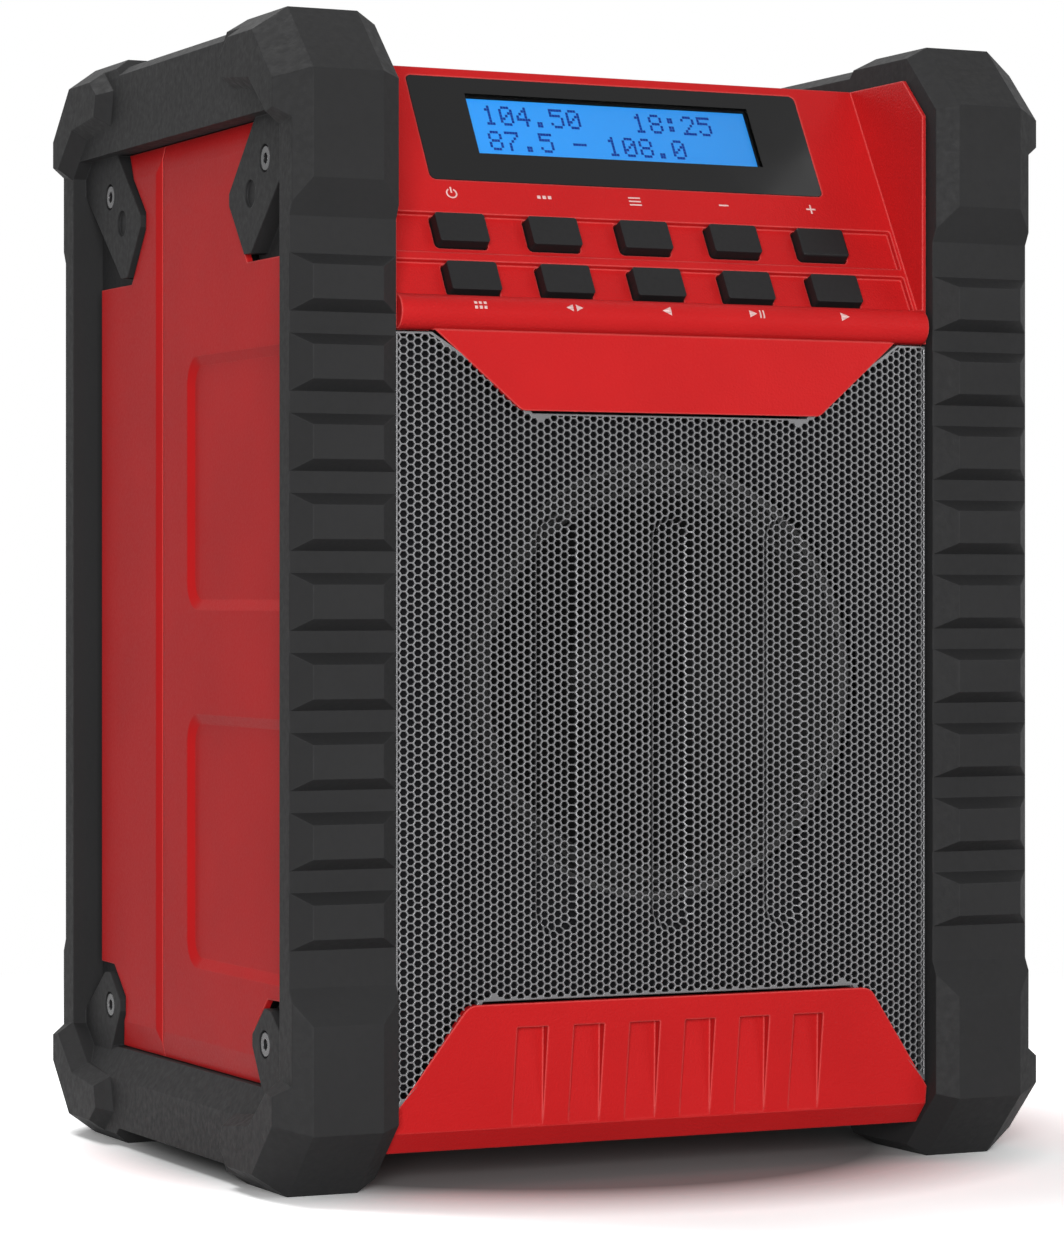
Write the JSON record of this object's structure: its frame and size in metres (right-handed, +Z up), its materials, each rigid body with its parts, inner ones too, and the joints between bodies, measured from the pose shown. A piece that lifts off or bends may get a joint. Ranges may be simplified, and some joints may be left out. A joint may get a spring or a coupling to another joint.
{
  "type": "jobsite radio",
  "caption": "Upright jobsite radio: red housing between two black ribbed side frames, with perforated speaker grille, sloping display and key panel, battery door and folding antenna.",
  "frame": {"origin": "bottom centre of the bounding box, on the plane of the four bottom bumpers", "axes": "+Z up; the grille and display face -Y; +X is to the right of a viewer who faces the front"},
  "size_m": [0.2014, 0.1614, 0.271],
  "materials": {
    "frame_black": "finely grained",
    "housing_red": "grained, satin",
    "cover_black": "grained",
    "grille_metal": "powder coated, hexagonal holes",
    "baffle_black": "plain",
    "lens": "polished, dark tinted",
    "lcd_blue": "back-lit",
    "key_rubber": "matt",
    "seal_rubber": "matt",
    "board_green": "solder mask",
    "module_grey": "plain",
    "steel": "zinc plated",
    "screw_black": "blackened steel",
    "antenna_chrome": "polished",
    "basket_black": "black lacquered steel",
    "cone_paper": "pressed paper, black",
    "magnet_black": "ferrite and plated yoke",
    "contact_brass": "plated",
    "aluminium_plain": "extruded",
    "battery_case": "plain"
  },
  "bodies": {
    "radio": {"right_side_frame": "frame_black", "left_side_frame": "frame_black", "front_housing": "housing_red", "rear_housing": "housing_red", "back_cover": "cover_black", "housing_seal": "seal_rubber", "speaker_grille": "grille_metal", "speaker_baffle": "baffle_black", "display_lens": "lens", "lcd_module": "module_grey", "lcd_glass": "lcd_blue", "keypad_mat": "seal_rubber", "key_board": "board_green", "key_board_screws": "steel", "speaker_gasket": "seal_rubber", "speaker_basket": "basket_black", "speaker_surround": "seal_rubber", "speaker_cone": "cone_paper", "speaker_dust_cap": "cone_paper", "voice_coil": "contact_brass", "speaker_magnet": "magnet_black", "speaker_screws": "steel", "battery_pack": "battery_case", "battery_contacts": "contact_brass", "door_hinge_pins": "steel", "door_seal": "seal_rubber", "main_board": "board_green", "main_board_screws": "steel", "tuner_shield": "steel", "amplifier_heat_sink": "aluminium_plain", "audio_socket": "cover_black", "power_socket": "cover_black", "flap_pin": "steel", "antenna_bracket": "cover_black", "frame_screws": "screw_black", "shell_screws": "steel", "cover_screws": "screw_black"},
    "battery_door": {"battery_door": "cover_black"},
    "socket_flap": {"socket_flap": "seal_rubber"},
    "antenna_turret": {"antenna_turret": "antenna_chrome", "antenna_pin": "steel"},
    "antenna_lower": {"antenna_lower": "antenna_chrome"},
    "antenna_middle": {"antenna_middle": "antenna_chrome"},
    "antenna_upper": {"antenna_upper": "antenna_chrome"},
    "button_power": {"button_power": "key_rubber"},
    "button_mode": {"button_mode": "key_rubber"},
    "button_info_menu": {"button_info_menu": "key_rubber"},
    "button_volume_down": {"button_volume_down": "key_rubber"},
    "button_volume_up": {"button_volume_up": "key_rubber"},
    "button_preset": {"button_preset": "key_rubber"},
    "button_scan": {"button_scan": "key_rubber"},
    "button_previous": {"button_previous": "key_rubber"},
    "button_play": {"button_play": "key_rubber"},
    "button_next": {"button_next": "key_rubber"}
  },
  "joints": [
    {"name": "button_power_press", "type": "slide", "parent": "radio", "child": "button_power", "axis": [0, 0.866, -0.5], "range_m": [0, 0.0009], "stiffness_N_per_m": 1500, "springref_m": -0.0004},
    {"name": "button_mode_press", "type": "slide", "parent": "radio", "child": "button_mode", "axis": [0, 0.866, -0.5], "range_m": [0, 0.0009], "stiffness_N_per_m": 1500, "springref_m": -0.0004},
    {"name": "button_info_menu_press", "type": "slide", "parent": "radio", "child": "button_info_menu", "axis": [0, 0.866, -0.5], "range_m": [0, 0.0009], "stiffness_N_per_m": 1500, "springref_m": -0.0004},
    {"name": "button_volume_down_press", "type": "slide", "parent": "radio", "child": "button_volume_down", "axis": [0, 0.866, -0.5], "range_m": [0, 0.0009], "stiffness_N_per_m": 1500, "springref_m": -0.0004},
    {"name": "button_volume_up_press", "type": "slide", "parent": "radio", "child": "button_volume_up", "axis": [0, 0.866, -0.5], "range_m": [0, 0.0009], "stiffness_N_per_m": 1500, "springref_m": -0.0004},
    {"name": "button_preset_press", "type": "slide", "parent": "radio", "child": "button_preset", "axis": [0, 0.866, -0.5], "range_m": [0, 0.0009], "stiffness_N_per_m": 1500, "springref_m": -0.0004},
    {"name": "button_scan_press", "type": "slide", "parent": "radio", "child": "button_scan", "axis": [0, 0.866, -0.5], "range_m": [0, 0.0009], "stiffness_N_per_m": 1500, "springref_m": -0.0004},
    {"name": "button_previous_press", "type": "slide", "parent": "radio", "child": "button_previous", "axis": [0, 0.866, -0.5], "range_m": [0, 0.0009], "stiffness_N_per_m": 1500, "springref_m": -0.0004},
    {"name": "button_play_press", "type": "slide", "parent": "radio", "child": "button_play", "axis": [0, 0.866, -0.5], "range_m": [0, 0.0009], "stiffness_N_per_m": 1500, "springref_m": -0.0004},
    {"name": "button_next_press", "type": "slide", "parent": "radio", "child": "button_next", "axis": [0, 0.866, -0.5], "range_m": [0, 0.0009], "stiffness_N_per_m": 1500, "springref_m": -0.0004},
    {"name": "battery_door_hinge", "type": "hinge", "parent": "radio", "child": "battery_door", "pos_m": [0, 0.0766, 0.0246], "axis": [-1, 0, 0], "range_deg": [0, 100]},
    {"name": "socket_flap_hinge", "type": "hinge", "parent": "radio", "child": "socket_flap", "pos_m": [-0.063, 0.0755, 0.152], "axis": [0, 0, 1], "range_deg": [0, 120]},
    {"name": "antenna_turn", "type": "hinge", "parent": "radio", "child": "antenna_turret", "pos_m": [0.05, 0.0774, 0.138], "axis": [0, 0, 1], "range_deg": [-60, 60]},
    {"name": "antenna_tilt", "type": "hinge", "parent": "antenna_turret", "child": "antenna_lower", "pos_m": [0.05, 0.0774, 0.1426], "axis": [-1, 0, 0], "range_deg": [0, 90]},
    {"name": "antenna_middle_slide", "type": "slide", "parent": "antenna_lower", "child": "antenna_middle", "axis": [0, 0, 1], "range_m": [0, 0.085]},
    {"name": "antenna_upper_slide", "type": "slide", "parent": "antenna_middle", "child": "antenna_upper", "axis": [0, 0, 1], "range_m": [0, 0.085]}
  ]
}
